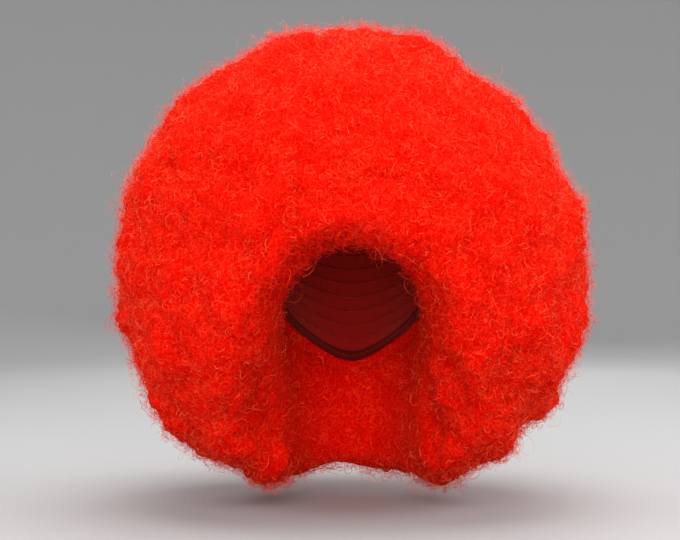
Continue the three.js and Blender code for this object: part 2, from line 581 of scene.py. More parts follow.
@dataclass(frozen=True)
class MassFinish(ReliefFinish):
    """The hair under the outer curls: fine looping strands too many to part, in crossing layers."""

    bump: float = 0.3
    depth: float = 0.002
    shades: Shades = MASS_SHADES
    loops: tuple[float, ...] = (105.0, 150.0, 210.0)
    distortion: float = 0.5
    levels: float = 3.2
    fold: float = 0.5
    line_from: float = 0.36
    line_share: float = 0.55
    lock_scale: float = 40.0
    lock_detail: float = 3.0
    lock_share: float = 0.45

    def build(self) -> bpy.types.Material:
        """Makes the material on object coordinates.

        Returns:
            The material.
        """
        material, writer, shader = self.start()
        place = writer.out(writer.node("ShaderNodeTexCoord"), "Object")
        lines = self.loop_lines(writer, place, self.loops[0])
        for scale in self.loops[1:]:
            lines = writer.work_out("MAXIMUM", lines, self.loop_lines(writer, place, scale))
        locks = writer.node(
            "ShaderNodeTexNoise",
            inputs={"Vector": place, "Scale": self.lock_scale, "Detail": self.lock_detail},
        )
        shade = writer.work_out("MULTIPLY", writer.out(locks, "Fac"), self.lock_share)
        # The loop lines stand for strands and are painted paler than the gaps between them: painted
        # highlights on the strands and painted shade in the gaps.
        mixed = writer.work_out("MULTIPLY_ADD", lines, self.line_share, shade)
        self.dress(writer, shader, colour_ramp(writer, mixed, self.shades), lines)
        return material

    def loop_lines(
        self, writer: TreeWriter, place: bpy.types.NodeSocket, scale: float
    ) -> bpy.types.NodeSocket:
        """Draws the level lines of a noise, which close on themselves like curls.

        Args:
            writer: The material's writer.
            place: Where the noise is read.
            scale: The noise's scale.

        Returns:
            A mask that is 1 on the lines.
        """
        hills = writer.node(
            "ShaderNodeTexNoise",
            inputs={"Vector": place, "Scale": scale, "Detail": 0.0, "Distortion": self.distortion},
        )
        stretched = writer.work_out("MULTIPLY", writer.out(hills, "Fac"), self.levels)
        mask = writer.node(
            "ShaderNodeMapRange",
            {"interpolation_type": "SMOOTHSTEP"},
            {
                "Value": writer.work_out("PINGPONG", stretched, self.fold),
                "From Min": self.line_from,
                "From Max": self.fold,
            },
        )
        return mask.outputs[0]


@dataclass(frozen=True)
class NetFinish(ReliefFinish):
    """Knitted net: fine crossing threads on the piece's own map, with the meshes between them painted darker
    as painted shade in the net's openings.
    """

    bump: float = 0.7
    depth: float = 0.0008
    thread: Colour = (0.45, 0.012, 0.008)
    mesh: Colour = (0.16, 0.004, 0.003)
    mesh_to: float = 0.55
    thread_from: float = 0.9
    across: float = 170.0
    slants: tuple[float, float] = (math.radians(45.0), math.radians(-45.0))

    def build(self) -> bpy.types.Material:
        """Makes the material on the piece's own map.

        Returns:
            The material.
        """
        material, writer, shader = self.start()
        place = writer.out(writer.node("ShaderNodeUVMap", {"uv_map": WEAVE_UV}), "UV")
        waves = []
        for slant in self.slants:
            turned = writer.node(
                "ShaderNodeMapping", inputs={"Vector": place, "Rotation": (0.0, 0.0, slant)}
            )
            wave = writer.node(
                "ShaderNodeTexWave",
                {"bands_direction": "X"},
                {"Vector": writer.out(turned, "Vector"), "Scale": self.across, "Distortion": 0.0},
            )
            waves.append(writer.out(wave, "Fac"))
        net = writer.work_out("MAXIMUM", *waves)
        # The meshes between the threads are darker: painted shade.
        colour = colour_ramp(writer, net, ((self.mesh_to, self.mesh), (self.thread_from, self.thread)))
        self.dress(writer, shader, colour, net)
        return material


@dataclass(frozen=True)
class RibbedFinish(ReliefFinish):
    """Woven elastic or sewn tape: ribs along the piece's own map, with painted shade in the grooves between
    them.
    """

    bump: float = 0.6
    depth: float = 0.0005
    crest: Colour = (0.16, 0.006, 0.004)
    groove: Colour = (0.05, 0.002, 0.0015)
    groove_to: float = 0.2
    crest_from: float = 0.8
    ribs: float = 420.0
    distortion: float = 0.4
    detail: float = 1.0

    def build(self) -> bpy.types.Material:
        """Makes the material on the piece's own map.

        Returns:
            The material.
        """
        material, writer, shader = self.start()
        place = writer.out(writer.node("ShaderNodeUVMap", {"uv_map": WEAVE_UV}), "UV")
        wave = writer.node(
            "ShaderNodeTexWave",
            {"bands_direction": "X"},
            {"Vector": place, "Scale": self.ribs, "Distortion": self.distortion, "Detail": self.detail},
        )
        ribs = writer.out(wave, "Fac")
        # The grooves are painted darker than the crests: painted shade.
        colour = colour_ramp(writer, ribs, ((self.groove_to, self.groove), (self.crest_from, self.crest)))
        self.dress(writer, shader, colour, ribs)
        return material


@dataclass(frozen=True)
class ThreadFinish(ReliefFinish):
    """Twisted sewing thread, with a fine unevenness along it."""

    bump: float = 0.4
    depth: float = 0.0004
    light: Colour = (0.42, 0.014, 0.010)
    dark: Colour = (0.14, 0.004, 0.003)
    dark_to: float = 0.3
    light_from: float = 0.65
    grain: float = 900.0
    detail: float = 2.0

    def build(self) -> bpy.types.Material:
        """Makes the material on object coordinates.

        Returns:
            The material.
        """
        material, writer, shader = self.start()
        grain = writer.node(
            "ShaderNodeGroup",
            {"node_tree": bpy.data.node_groups.get(THREAD_GRAIN) or self.thread_grain()},
            {
                "Vector": writer.out(writer.node("ShaderNodeTexCoord"), "Object"),
                "Scale": self.grain,
                "Detail": self.detail,
            },
        )
        height = writer.out(grain, "Height")
        colour = colour_ramp(writer, height, ((self.dark_to, self.dark), (self.light_from, self.light)))
        self.dress(writer, shader, colour, height)
        return material

    @staticmethod
    def thread_grain() -> bpy.types.NodeTree:
        """Makes the group that gives the unevenness of a thread.

        Returns:
            The group, which both thread finishes use.
        """
        given = {"Vector": "Vector", "Scale": "Float", "Detail": "Float"}
        writer = new_tree(THREAD_GRAIN, "ShaderNodeTree", given, {"Height": "Float"})
        sockets = writer.node("NodeGroupInput").outputs
        fibres = writer.node("ShaderNodeTexNoise", inputs={name: sockets[name] for name in given})
        writer.node("NodeGroupOutput", inputs={"Height": writer.out(fibres, "Fac")})
        return writer.tree


# The form that the cap follows


@dataclass
class CapForm:
    """The form inside the cap, which its wall follows and the hair leaves free."""

    half_width: float = 0.076
    half_length: float = 0.096
    crown: float = 0.095
    roundness: float = 2.2
    below_z: tuple[float, ...] = (-0.230, -0.165, -0.130, -0.085, -0.040, 0.0)
    below_width: tuple[float, ...] = (0.098, 0.058, 0.056, 0.061, 0.072, 0.076)
    below_front: tuple[float, ...] = (0.100, 0.058, 0.058, 0.082, 0.094, 0.096)
    below_back: tuple[float, ...] = (0.130, 0.078, 0.076, 0.082, 0.093, 0.096)
    rim_azimuth: tuple[float, ...] = (0.0, 55.0, 95.0, 135.0, 180.0)
    rim_z: tuple[float, ...] = (0.052, 0.030, 0.004, -0.038, -0.066)

    def rim(self, azimuth: np.ndarray) -> np.ndarray:
        """Returns the height of the cap's rim, with azimuth 0 at the front, in radians."""
        turned = np.abs(np.degrees(np.arctan2(np.sin(azimuth), np.cos(azimuth))))
        return eased(turned, self.rim_azimuth, self.rim_z)

    def half_sizes(self, azimuth: np.ndarray, z: np.ndarray) -> tuple[np.ndarray, np.ndarray]:
        """Works out the form's half sizes at a height.

        Args:
            azimuth: Angles from the front, in radians.
            z: Heights.

        Returns:
            The half width, and the half length on the azimuth's side.
        """
        width = eased(z, self.below_z, self.below_width)
        front = eased(z, self.below_z, self.below_front)
        back = eased(z, self.below_z, self.below_back)
        return width, np.where(np.cos(azimuth) > 0.0, front, back)

    def points(self, azimuth: np.ndarray, z: np.ndarray, offset: float) -> np.ndarray:
        """Places points on the form, moved outwards by an offset.

        Args:
            azimuth: Angles from the front, in radians.
            z: Heights.
            offset: Distance outside the form.

        Returns:
            The points, one row each.
        """
        width, length = self.half_sizes(azimuth, z)
        climb = np.clip(z / (self.crown + offset), 0.0, 1.0)
        shrink = (1.0 - climb**self.roundness) ** (1.0 / self.roundness)
        x = (width + offset) * shrink * np.sin(azimuth)
        y = -(length + offset) * shrink * np.cos(azimuth)
        return np.stack([x, y, z], axis=1)

    def reach(self, points: np.ndarray) -> np.ndarray:
        """Works out about how far points lie outside the form.

        Args:
            points: Points, one row each.

        Returns:
            The distances, negative inside the form.
        """
        azimuth = np.arctan2(points[:, 0], -points[:, 1])
        width, length = self.half_sizes(azimuth, points[:, 2])
        flat = np.hypot(points[:, 0] / width, points[:, 1] / length)
        climb = np.clip(points[:, 2] / self.crown, 0.0, None)
        share = (flat**self.roundness + climb**self.roundness) ** (1.0 / self.roundness)
        return (share - 1.0) * (self.half_width + self.half_length) / 2.0


# The hair


@dataclass
class HairMass:
    """The dense body of frizz under the outer curls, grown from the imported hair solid."""

    form: CapForm
    centre: tuple[float, float, float] = (0.0, 0.030, 0.041)
    merge: float = 1e-5
    voxel: float = 0.0056
    smoothing: int = 16
    smoothing_share: float = 0.5
    foot_z: tuple[float, float] = (-0.150, -0.105)
    foot_swell: float = 0.006
    inset: float = 0.0018
    ruffled: tuple[float, float] = (0.012, 0.035)
    clumps: tuple[tuple[float, float], ...] = ((0.056, 0.019), (0.027, 0.008), (0.012, 0.003))
    lobes: tuple[tuple[float, float, float], ...] = ((-0.078, 0.022, -0.001), (-0.126, 0.026, 0.010))
    jitter: float = 0.0015
    least_loft: float = 0.35
    least_cover: float = 0.7
    cap_clearance: float = 0.005
    cap_margin: float = 0.01
    rim_margin: float = 0.004
    covered: tuple[float, float] = (0.008, 0.016)
    ball_facing: tuple[float, float] = (0.0, 0.6)
    foot_facing: tuple[float, float] = (0.1, 0.5)
    crown_from: float = 0.62
    fringe_facing: tuple[float, float] = (0.15, 0.45)
    fringe_y: tuple[float, float] = (0.085, 0.125)
    fringe_z: tuple[float, float] = (-0.075, 0.0)
    seed: int = 3

    def build(self) -> bpy.types.Object:
        """Makes the mass as a piece with attributes that guide the curls.

        Returns:
            The object.
        """
        rough = bpy.data.meshes.new("hair_solid")
        work = bmesh.new()
        work.from_mesh(frame["nodes"]["hair"].data)
        bmesh.ops.remove_doubles(work, verts=work.verts, dist=self.merge)
        work.to_mesh(rough)
        work.free()
        made = new_object("hair_mass", rough)
        remesh = made.modifiers.new("even", "REMESH")
        remesh.mode = "VOXEL"
        remesh.voxel_size = self.voxel
        soft = plain_mesh(made, "hair_mass")
        made.modifiers.clear()
        made.data = soft
        bpy.data.meshes.remove(rough)
        soft.materials.clear()
        self.soften(soft)
        self.ruffle(soft)
        self.mark(soft)
        soft.shade_smooth()
        return made

    def soften(self, mesh: bpy.types.Mesh) -> None:
        """Rounds the mass off all over.

        Args:
            mesh: The mesh to change.
        """
        points = points_of(mesh)
        ends = np.empty(len(mesh.edges) * 2, np.int32)
        mesh.edges.foreach_get("vertices", ends)
        first, second = ends[0::2], ends[1::2]
        joined = np.bincount(ends, minlength=len(points))[:, None]
        for _ in range(self.smoothing):
            total = np.zeros_like(points)
            for axis in range(3):
                total[:, axis] += np.bincount(first, points[second, axis], len(points))
                total[:, axis] += np.bincount(second, points[first, axis], len(points))
            points += self.smoothing_share * (total / joined - points)
        move_points(mesh, points)

    def ruffle(self, mesh: bpy.types.Mesh) -> None:
        """Raises clumps on the outside and keeps the hollow clear of the cap.

        Args:
            mesh: The mesh to change.
        """
        points = points_of(mesh)
        normals = normals_of(mesh)
        outside = smooth_step(self.form.reach(points), *self.ruffled)
        lift = self.foot_swell * self.foot(points) - self.inset
        for size, height in self.clumps:
            waves = np.array([noise.noise(Vector(p) / size) for p in points])
            lift += height * (np.abs(waves) - np.abs(waves).mean())
        lift += np.random.default_rng(self.seed).normal(0.0, self.jitter, len(points))
        points += normals * (lift * outside)[:, None]
        foot = self.foot(points)
        for middle, reach, shift in self.lobes:
            points[:, 2] += shift * foot * np.exp(-(((points[:, 0] - middle) / reach) ** 2))
        short = np.clip(self.cap_clearance - self.form.reach(points), 0.0, None)
        away = unit(points)
        above = self.form.rim(np.arctan2(points[:, 0], -points[:, 1])) - self.cap_margin
        away[points[:, 2] < above] = 0.0
        points += away * short[:, None]
        move_points(mesh, points)

    def foot(self, points: np.ndarray) -> np.ndarray:
        """Returns how much points belong to the ball's foot, from 0 to 1."""
        return 1.0 - smooth_step(points[:, 2], *self.foot_z)

    def mark(self, mesh: bpy.types.Mesh) -> None:
        """Stores how much hair each place carries and which region it lies in.

        Args:
            mesh: The mesh that takes the attributes.
        """
        points = points_of(mesh)
        azimuth = np.arctan2(points[:, 0], -points[:, 1])
        under_cap = points[:, 2] > self.form.rim(azimuth) - self.rim_margin
        cover = smooth_step(self.form.reach(points), *self.covered)
        cover[~under_cap] = 1.0
        normals = normals_of(mesh)
        outside = self.outside(points, normals)
        for name, least in (("cover", self.least_cover), ("loft", self.least_loft)):
            store_attribute(mesh, name, "FLOAT", "POINT", cover * (least + (1.0 - least) * outside))
        store_attribute(mesh, "fringe", "FLOAT", "POINT", self.fringe(points, normals))
        away = unit(rows_of(mesh.polygons, "center") - np.array(self.centre))
        quarter = np.round(np.arctan2(away[:, 0], -away[:, 1]) / (math.pi / 2.0)).astype(int) % 4
        region = np.where(away[:, 2] > self.crown_from, HairRegion.CROWN.value, quarter + 1)
        store_attribute(mesh, "region", "INT", "FACE", region)

    def outside(self, points: np.ndarray, normals: np.ndarray) -> np.ndarray:
        """Returns how much the surface faces outwards: 1 on the ball and its foot, 0 on the hollow's walls.

        Args:
            points: The mass's points.
            normals: Their normals.

        Returns:
            One share for each point.
        """
        away = unit(points - np.array(self.centre))
        ball = smooth_step(np.sum(normals * away, axis=1), *self.ball_facing)
        underside = smooth_step(-normals[:, 2], *self.foot_facing) * self.foot(points)
        return np.maximum(ball, underside)

    def fringe(self, points: np.ndarray, normals: np.ndarray) -> np.ndarray:
        """Returns where loose curls hang round the front opening, from 0 to 1.

        Args:
            points: The mass's points.
            normals: Their normals.

        Returns:
            One share for each point.
        """
        inward = -points * np.array([1.0, 0.0, 1.0])
        inward /= np.linalg.norm(inward, axis=1)[:, None] + 1e-9
        facing = smooth_step(np.sum(normals * inward, axis=1), *self.fringe_facing)
        forward = smooth_step(-points[:, 1], *self.fringe_y)
        above = smooth_step(points[:, 2], *self.fringe_z)
        return facing * forward * above


@dataclass(frozen=True)
class CurlLock:
    """One lock of a few strands that curl together, lying on the XY plane with +Z away from the hair."""

    kind: CurlKind
    strands: int
    segments: int
    width: float
    radius: tuple[float, float]
    turns: tuple[float, float]
    rise: tuple[float, float]
    lean: tuple[float, float]
    twist: float
    spread: float
    wobble: tuple[float, float] = (0.1, 0.3)
    waves: tuple[float, float] = (3.0, 6.0)
    wave_start: float = 6.0
    tightening: float = 0.3
    taper: float = 0.5
    swell: float = 0.15
    outwards: tuple[float, float, float] = (0.01, 0.01, 1.0)

    def path(self, random: np.random.Generator) -> np.ndarray:
        """Draws the line that the lock follows.

        Args:
            random: The source of its random sizes.

        Returns:
            The line's points, one row each.
        """
        along = np.linspace(0.0, 1.0, self.segments + 1)
        radius = random.uniform(*self.radius)
        turns = random.uniform(*self.turns) * random.choice([-1.0, 1.0])
        wobble = random.uniform(*self.wobble)
        wave = np.sin(along * random.uniform(*self.waves) + random.uniform(0.0, self.wave_start))
        angle = random.uniform(0.0, 2.0 * math.pi) + 2.0 * math.pi * turns * along
        size = radius * (1.0 - self.tightening * along + wobble * wave)
        lean = random.uniform(*self.lean)
        rise = random.uniform(*self.rise)
        line = np.stack([size * np.cos(angle), size * np.sin(angle), rise * (along - 0.5)], axis=1)
        tip = np.array(
            [[1.0, 0.0, 0.0], [0.0, math.cos(lean), -math.sin(lean)], [0.0, math.sin(lean), math.cos(lean)]]
        )
        line = line @ tip.T
        if self.kind is CurlKind.WISP:
            line -= line[0]
            line[:, 2] *= np.sign(line[-1, 2]) or 1.0
        return line

    def build(self, name: str, random: np.random.Generator) -> bpy.types.Object:
        """Makes the lock as a mesh of thin strips that lie towards +Z and twist a little.

        Args:
            name: The object's name.
            random: The source of its random sizes.

        Returns:
            The object.
        """
        line = self.path(random)
        count = len(line)
        along = np.linspace(0.0, 1.0, count)
        tangent = unit(np.gradient(line, axis=0))
        side = unit(np.cross(tangent, np.array(self.outwards)))
        other = np.cross(tangent, side)
        half = 0.5 * self.width * (1.0 - self.taper * along**2)
        points, faces, shades = [], [], []
        for strand in range(self.strands):
            shift = random.normal(0.0, self.spread, 3) if strand else np.zeros(3)
            swell = 1.0 + random.normal(0.0, self.swell)
            turn = self.twist * (random.uniform(-1.0, 1.0) + along * random.uniform(-1.0, 1.0))
            aim = side * np.cos(turn)[:, None] + other * np.sin(turn)[:, None]
            spine = line * swell + shift
            points.append(np.concatenate([spine - aim * half[:, None], spine + aim * half[:, None]]))
            low = strand * 2 * count + np.arange(count - 1)
            faces.append(np.stack([low, low + count, low + 1 + count, low + 1], axis=1))
            shades.append(np.full(2 * count, random.uniform()))
        mesh = mesh_from_arrays(name, np.concatenate(points), np.concatenate(faces))
        values = {
            "along": np.tile(along, 2 * self.strands),
            "across": np.tile(np.repeat([0.0, 1.0], count), self.strands),
            "strand_shade": np.concatenate(shades),
        }
        for label, value in values.items():
            store_attribute(mesh, label, "FLOAT", "POINT", value)
        return bpy.data.objects.new(name, mesh)


@dataclass
class CurlScatter:
    """A geometry tree that sets locks over the hair mass, each turned, leaned and sized at random, and
    painted paler the higher it is lifted: painted light.

    Every draw's seed follows from the number of nodes made before it, so the nodes keep their order.
    """

    shade_share: float = 0.7
    strand_share: float = 0.24
    across_share: float = 0.03
    # How much of a lock's shade is painted light that follows its lift; the rest is a random tone.
    lit_share: float = 0.5
    map_margin: float = 0.01
    crowding: float = 1.4
    picks: int = 1000
    seed_step: int = 17

    def build(self) -> bpy.types.NodeTree:
        """Makes the tree.

        Returns:
            The tree, with its sizes as named inputs.
        """
        writer = new_geometry_tree(
            "Curl scatter",
            {
                "Locks": "Collection",
                "Cover": "String",
                "Drift": "Vector",
                "Region": "Int",
                "Any Region": "Bool",
                "Spacing": "Float",
                "Density": "Float",
                "Lift Low": "Float",
                "Lift High": "Float",
                "Lean": "Float",
                "Size Low": "Float",
                "Size High": "Float",
                "Seed": "Int",
            },
        )
        given = writer.node("NodeGroupInput").outputs
        roots = self.roots(writer, given)
        draw = self.random(writer, "FLOAT", 0.0, 1.0, given["Seed"])
        near = writer.work_out("POWER", draw, self.crowding)
        raised = self.raised(writer, given, roots, near)
        facing = self.facing(writer, given, roots)
        size = self.random(writer, "FLOAT", given["Size Low"], given["Size High"], given["Seed"])
        locks = writer.node(
            "GeometryNodeCollectionInfo",
            inputs={"Collection": given["Locks"], "Separate Children": True, "Reset Children": True},
        )
        pick = self.random(writer, "INT", 0, self.picks, given["Seed"])
        placed = writer.node(
            "GeometryNodeInstanceOnPoints",
            inputs={
                "Points": raised,
                "Instance": locks.outputs[0],
                "Pick Instance": True,
                "Instance Index": pick,
                "Rotation": facing,
                "Scale": size,
            },
        )
        # Locks lifted further off the mass get paler shades and low ones deeper red: painted light and shade
        # by lift, mixed with a random tone.
        unlit = self.random(writer, "FLOAT", 0.0, 1.0 - self.lit_share, given["Seed"])
        shade = writer.work_out("MULTIPLY_ADD", near, self.lit_share, unlit)
        shaded = writer.node(
            "GeometryNodeStoreNamedAttribute",
            {"data_type": "FLOAT", "domain": "INSTANCE"},
            {"Geometry": placed.outputs[0], "Name": "lock_shade", "Value": shade},
        )
        real = writer.node("GeometryNodeRealizeInstances", inputs={"Geometry": shaded.outputs[0]})
        mapped = writer.node(
            "GeometryNodeStoreNamedAttribute",
            {"data_type": "FLOAT2", "domain": "CORNER"},
            {"Geometry": real.outputs[0], "Name": STRAND_UV, "Value": self.map_place(writer)},
        )
        return writer.finish(mapped.outputs[0], given["Material"])

    def roots(self, writer: TreeWriter, given: bpy.types.bpy_prop_collection) -> bpy.types.Node:
        """Spreads roots over the chosen region, as densely as its cover says.

        Args:
            writer: The tree's writer.
            given: The tree's inputs.

        Returns:
            The node that makes the roots.
        """
        cover = self.attribute(writer, given["Cover"], "FLOAT")
        region = self.attribute(writer, "region", "INT")
        same = writer.node(
            "FunctionNodeCompare",
            {"data_type": "INT", "operation": "EQUAL"},
            {"A": region, "B": given["Region"]},
        )
        chosen = writer.node(
            "FunctionNodeBooleanMath", {"operation": "OR"}, {0: same.outputs[0], 1: given["Any Region"]}
        )
        return writer.node(
            "GeometryNodeDistributePointsOnFaces",
            {"distribute_method": "POISSON"},
            {
                "Mesh": given["Geometry"],
                "Selection": chosen.outputs[0],
                "Distance Min": given["Spacing"],
                "Density Max": given["Density"],
                "Density Factor": cover,
                "Seed": given["Seed"],
            },
        )

    def raised(
        self,
        writer: TreeWriter,
        given: bpy.types.bpy_prop_collection,
        roots: bpy.types.Node,
        near: bpy.types.NodeSocket,
    ) -> bpy.types.NodeSocket:
        """Lifts the roots off the mass and lets them drift.

        Args:
            writer: The tree's writer.
            given: The tree's inputs.
            roots: The node that makes the roots.
            near: How near to the outside each root lies, from 0 to 1.

        Returns:
            The lifted roots.
        """
        stand = writer.work_out("MULTIPLY", near, self.attribute(writer, "loft", "FLOAT"))
        span = writer.work_out("SUBTRACT", given["Lift High"], given["Lift Low"])
        lift = writer.work_out("MULTIPLY_ADD", stand, span, given["Lift Low"])
        rise = writer.node(
            "ShaderNodeVectorMath",
            {"operation": "SCALE"},
            {"Vector": writer.out(roots, "Normal"), "Scale": lift},
        )
        drawn = writer.node(
            "ShaderNodeVectorMath", {"operation": "MULTIPLY_ADD"}, {0: given["Drift"], 2: rise.outputs[0]}
        )
        writer.feed(drawn, 1, self.random(writer, "FLOAT_VECTOR", (0.0,) * 3, (1.0,) * 3, given["Seed"]))
        moved = writer.node(
            "GeometryNodeSetPosition",
            inputs={"Geometry": writer.out(roots, "Points"), "Offset": drawn.outputs[0]},
        )
        return writer.out(moved, "Geometry")

    def facing(
        self, writer: TreeWriter, given: bpy.types.bpy_prop_collection, roots: bpy.types.Node
    ) -> bpy.types.NodeSocket:
        """Turns each lock at random and leans it a little.

        Args:
            writer: The tree's writer.
            given: The tree's inputs.
            roots: The node that makes the roots.

        Returns:
            The locks' rotations.
        """
        lean = given["Lean"]
        back = writer.work_out("MULTIPLY", lean, -1.0)
        least = writer.node("ShaderNodeCombineXYZ", inputs={"X": back, "Y": back})
        most = writer.node("ShaderNodeCombineXYZ", inputs={"X": lean, "Y": lean, "Z": 2.0 * math.pi})
        angles = self.random(writer, "FLOAT_VECTOR", least.outputs[0], most.outputs[0], given["Seed"])
        turn = writer.node("FunctionNodeEulerToRotation", inputs={"Euler": angles})
        turned = writer.node(
            "FunctionNodeRotateRotation",
            {"rotation_space": "LOCAL"},
            {"Rotation": writer.out(roots, "Rotation"), "Rotate By": turn.outputs[0]},
        )
        return turned.outputs[0]

    def map_place(self, writer: TreeWriter) -> bpy.types.NodeSocket:
        """Works out a strand's place on its map: its shade across, and its length upwards.

        Args:
            writer: The tree's writer.

        Returns:
            The place.
        """
        across = self.map_margin
        for name, share in (
            ("lock_shade", self.shade_share),
            ("strand_shade", self.strand_share),
            ("across", self.across_share),
        ):
            across = writer.work_out("MULTIPLY_ADD", self.attribute(writer, name, "FLOAT"), share, across)
        length = self.attribute(writer, "along", "FLOAT")
        along = writer.work_out("MULTIPLY_ADD", length, 1.0 - 2.0 * self.map_margin, self.map_margin)
        return writer.node("ShaderNodeCombineXYZ", inputs={"X": across, "Y": along}).outputs[0]

    @staticmethod
    def attribute(writer: TreeWriter, name: object, kind: str) -> bpy.types.NodeSocket:
        """Returns the values of an attribute, by its name or by a socket that gives the name."""
        node = writer.node("GeometryNodeInputNamedAttribute", {"data_type": kind}, {"Name": name})
        return writer.out(node, "Attribute")

    def random(
        self, writer: TreeWriter, kind: str, low: object, high: object, seed: bpy.types.NodeSocket
    ) -> bpy.types.NodeSocket:
        """Returns random values, drawn apart from every other draw in the tree.

        Args:
            writer: The tree's writer.
            kind: FLOAT, INT or FLOAT_VECTOR.
            low: The least value or its socket.
            high: The greatest value or its socket.
            seed: The tree's seed.

        Returns:
            The values.
        """
        apart = writer.node(
            "FunctionNodeIntegerMath",
            {"operation": "ADD"},
            {0: seed, 1: self.seed_step * len(writer.tree.nodes)},
        )
        node = writer.node(
            "FunctionNodeRandomValue",
            {"data_type": kind},
            {"Min": low, "Max": high, "Seed": apart.outputs[0]},
        )
        return writer.out(node, "Value")


@dataclass(frozen=True)
class HairLayer:
    """How the locks of one layer lie on the hair mass."""

    cover: str
    spacing: float
    density: float
    lift: tuple[float, float]
    lean: float
    size: tuple[float, float]
    drift: tuple[float, float, float] = (0.0, 0.0, 0.0)

    def values(
        self,
        locks: bpy.types.Collection,
        material: bpy.types.Material,
        seed: int,
        region: HairRegion | None = None,
    ) -> dict:
        """Gathers the scatter tree's inputs.

        Args:
            locks: The locks to pick from.
            material: The strands' material.
            seed: The layer's seed.
            region: The region that the layer keeps to, or none where it goes all over.

        Returns:
            The inputs by name.
        """
        return {
            "Locks": locks,
            "Material": material,
            "Seed": seed,
            "Any Region": region is None,
            "Region": 0 if region is None else region.value,
            "Cover": self.cover,
            "Drift": self.drift,
            "Spacing": self.spacing,
            "Density": self.density,
            "Lift Low": self.lift[0],
            "Lift High": self.lift[1],
            "Lean": self.lean,
            "Size Low": self.size[0],
            "Size High": self.size[1],
        }


@dataclass
class Hairdo:
    """The ball of hair: its mass, its curls by region, the loose fringe and the wisps that stand off it."""

    form: CapForm
    seed: int = 7
    variants: int = 14
    glow: tuple[float, float, float, float] = (1.0, 0.30, 0.10, 1.0)
    mass_glow: tuple[float, float, float, float] = (1.0, 0.26, 0.05, 1.0)
    ring: CurlLock = CurlLock(
        kind=CurlKind.RING,
        strands=3,
        segments=6,
        width=0.00034,
        radius=(0.0030, 0.0072),
        turns=(0.5, 0.9),
        rise=(0.001, 0.006),
        lean=(0.0, 0.7),
        twist=1.3,
        spread=0.0024,
    )
    coil: CurlLock = CurlLock(
        kind=CurlKind.COIL,
        strands=3,
        segments=6,
        width=0.00034,
        radius=(0.0024, 0.0050),
        turns=(0.6, 1.0),
        rise=(0.004, 0.010),
        lean=(0.8, 1.6),
        twist=1.3,
        spread=0.0024,
    )
    frizz: CurlLock = CurlLock(
        kind=CurlKind.WISP,
        strands=1,
        segments=4,
        width=0.00032,
        radius=(0.0024, 0.0052),
        turns=(0.4, 0.8),
        rise=(0.003, 0.007),
        lean=(0.9, 1.6),
        twist=1.6,
        spread=0.0,
    )
    wisp: CurlLock = CurlLock(
        kind=CurlKind.WISP,
        strands=1,
        segments=12,
        width=0.00024,
        radius=(0.004, 0.009),
        turns=(0.6, 1.3),
        rise=(0.005, 0.012),
        lean=(0.9, 1.6),
        twist=1.6,
        spread=0.0,
    )
    curl_layer: HairLayer = HairLayer("cover", 0.0047, 100000.0, (-0.0025, 0.0060), 0.45, (0.8, 1.25))
    fuzz_layer: HairLayer = HairLayer("loft", 0.0040, 100000.0, (-0.0015, 0.0070), 0.6, (0.7, 1.3))
    wisp_layer: HairLayer = HairLayer("loft", 0.022, 9000.0, (-0.0015, 0.0070), 0.6, (0.7, 1.3))
    fringe_layer: HairLayer = HairLayer(
        "fringe", 0.0037, 100000.0, (0.0, 0.004), 0.8, (0.8, 1.4), drift=(0.0, -0.010, -0.001)
    )

    def build(self) -> list[bpy.types.Object]:
        """Makes every piece of hair, rides it on the frame and hides the imported hair solid.

        Returns:
            The pieces.
        """
        mass_finish = MassFinish("hair_mass_finish", 0.8, 0.03, 0.06, self.mass_glow).build()
        strand_finish = StrandFinish("hair_strand_finish", 0.30, 0.10, 0.02, self.glow, CURL_SHADES).build()
        frizz_finish = StrandFinish("hair_frizz_finish", 0.30, 0.25, 0.02, self.glow, FRIZZ_SHADES).build()
        mass = HairMass(self.form).build()
        mass.data.materials.append(mass_finish)
        pieces = [mass]
        random = np.random.default_rng(self.seed)
        curls = self.collection("Curl locks", (self.ring, self.coil), random)
        fuzz = self.collection("Fuzz", (self.frizz,), random)
        wisps = self.collection("Wisps", (self.wisp,), random)
        tree = CurlScatter().build()
        for region in HairRegion:
            values = self.curl_layer.values(curls, strand_finish, self.seed + region.value, region)
            pieces.append(self.strands(mass, tree, values, "curls_" + region.name.lower()))
        for name, layer, locks, finish in (
            ("fuzz", self.fuzz_layer, fuzz, frizz_finish),
            ("wisps", self.wisp_layer, wisps, frizz_finish),
            ("fringe", self.fringe_layer, curls, strand_finish),
        ):
            values = layer.values(locks, finish, self.seed + len(pieces))
            pieces.append(self.strands(mass, tree, values, name))
        for lock_set in (curls, fuzz, wisps):
            for lock in list(lock_set.objects):
                bpy.data.objects.remove(lock)
            bpy.data.collections.remove(lock_set)
        for piece in pieces:
            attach(piece, ROOT)
        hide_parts("hair")
        return pieces

    def collection(
        self, name: str, kinds: tuple[CurlLock, ...], random: np.random.Generator
    ) -> bpy.types.Collection:
        """Makes several locks of each kind in a collection that isn't in the scene.

        Args:
            name: The collection's name.
            kinds: The kinds of lock.
            random: The source of their random sizes.

        Returns:
            The collection.
        """
        made = bpy.data.collections.new(name)
        for kind in kinds:
            for index in range(self.variants):
                made.objects.link(kind.build(f"{kind.kind.value}_{index:02d}", random))
        return made

    @staticmethod
    def strands(
        mass: bpy.types.Object, tree: bpy.types.NodeTree, values: dict, name: str
    ) -> bpy.types.Object:
        """Scatters locks over the mass and returns them as one piece.

        Args:
            mass: The hair mass, which carries the tree while it runs.
            tree: The scatter tree.
            values: The tree's inputs by name.
            name: The piece's name.

        Returns:
            The piece.
        """
        mesh = run_geometry_tree(mass, tree, values, name)
        for leftover in ("along", "across", "strand_shade", "lock_shade"):
            mesh.attributes.remove(mesh.attributes[leftover])
        return new_object(name, mesh)


# The cap and its band


